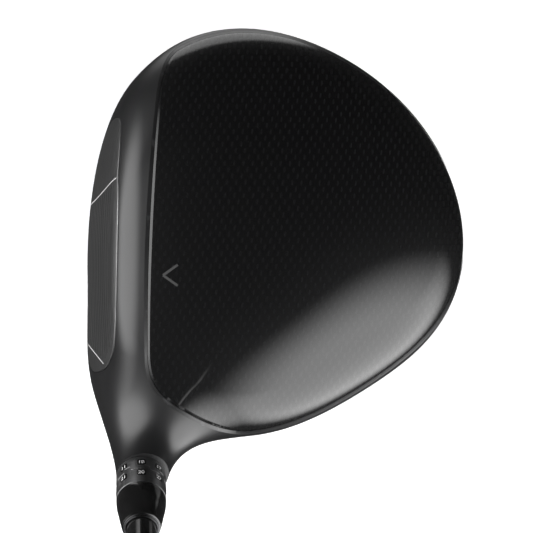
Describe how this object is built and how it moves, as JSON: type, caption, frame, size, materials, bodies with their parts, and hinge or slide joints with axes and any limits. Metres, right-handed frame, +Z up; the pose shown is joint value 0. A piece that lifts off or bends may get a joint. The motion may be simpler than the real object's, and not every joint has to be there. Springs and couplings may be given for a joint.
{
  "type": "golf driver",
  "caption": "Golf driver with a hollow pear-shaped head, bonded crown and sole panels, adjustable hosel sleeve, sole weights, tapered shaft and rubber grip.",
  "frame": {"origin": "the point on the ground under the heel where the shaft's axis meets the ground at address", "axes": "+X from the face towards the back of the head, +Y from heel to toe, +Z up; the shaft leans towards -Y at the lie angle"},
  "size_m": [0.1133, 0.7334, 0.9814],
  "materials": {
    "chassis_paint": "satin black paint over titanium",
    "face_metal": "milled and darkened titanium",
    "crown_carbon": "clear-coated carbon weave",
    "sole_carbon": "clear-coated carbon weave",
    "mark_paint": "pad-printed",
    "tube_titanium": "machined titanium",
    "screw_steel": "machined steel",
    "sleeve_metal": "dark anodised, turned",
    "ferrule_plastic": "polished black",
    "trim_metal": "polished",
    "brass": "as turned",
    "shaft_graphite": "clear-coated graphite",
    "tape": "paper masking tape",
    "grip_rubber": "matt, textured",
    "weight_metal": "dark coated"
  },
  "bodies": {
    "head": {"chassis": "chassis_paint", "face_plate": "face_metal", "crown_panel": "crown_carbon", "sole_panel_toe": "sole_carbon", "sole_panel_heel": "sole_carbon", "alignment_mark": "mark_paint", "hosel_tube": "tube_titanium", "screw_retainer": "screw_steel", "rear_weight_port": "tube_titanium", "front_weight_port": "tube_titanium"},
    "shaft_assembly": {"cog_ring": "sleeve_metal", "adapter_sleeve": "sleeve_metal", "ferrule": "ferrule_plastic", "ferrule_trim": "trim_metal", "tip_weight": "brass", "shaft": "shaft_graphite", "grip_tape": "tape", "grip": "grip_rubber", "grip_end_cap": "grip_rubber"},
    "washer": {"screw_washer": "screw_steel"},
    "hosel_screw": {"hosel_screw": "screw_steel"},
    "rear_weight": {"rear_weight": "weight_metal"},
    "rear_screw": {"rear_weight_screw": "screw_steel"},
    "front_weight": {"front_weight": "weight_metal"},
    "front_screw": {"front_weight_screw": "screw_steel"}
  },
  "joints": [
    {"name": "sleeve_pull", "type": "slide", "parent": "head", "child": "shaft_assembly", "axis": [0, -0.5373, 0.8434], "range_m": [0, 0.035]},
    {"name": "hosel_screw_out", "type": "slide", "parent": "head", "child": "washer", "axis": [0, 0.5373, -0.8434], "range_m": [0, 0.0056]},
    {"name": "hosel_screw_turn", "type": "hinge", "parent": "washer", "child": "hosel_screw", "pos_m": [0, -0.01075, 0.01687], "axis": [0, 0.5373, -0.8434], "range_deg": [0, 2520]},
    {"name": "rear_weight_out", "type": "slide", "parent": "head", "child": "rear_weight", "axis": [0.3746, 0, -0.9272], "range_m": [0, 0.004]},
    {"name": "rear_screw_turn", "type": "hinge", "parent": "rear_weight", "child": "rear_screw", "pos_m": [0.078, 0.038, 0.0114], "axis": [0.3746, 0, -0.9272], "range_deg": [0, 1800]},
    {"name": "front_weight_out", "type": "slide", "parent": "head", "child": "front_weight", "axis": [0, 0, -1], "range_m": [0, 0.004]},
    {"name": "front_screw_turn", "type": "hinge", "parent": "front_weight", "child": "front_screw", "pos_m": [0.022, 0.036, 0], "axis": [0, 0, -1], "range_deg": [0, 1800]}
  ],
  "couplings": [
    {"joint": "hosel_screw_turn", "follows": "hosel_screw_out", "rad_per_m": 7853.9},
    {"joint": "rear_screw_turn", "follows": "rear_weight_out", "rad_per_m": 7853.9},
    {"joint": "front_screw_turn", "follows": "front_weight_out", "rad_per_m": 7853.9}
  ]
}
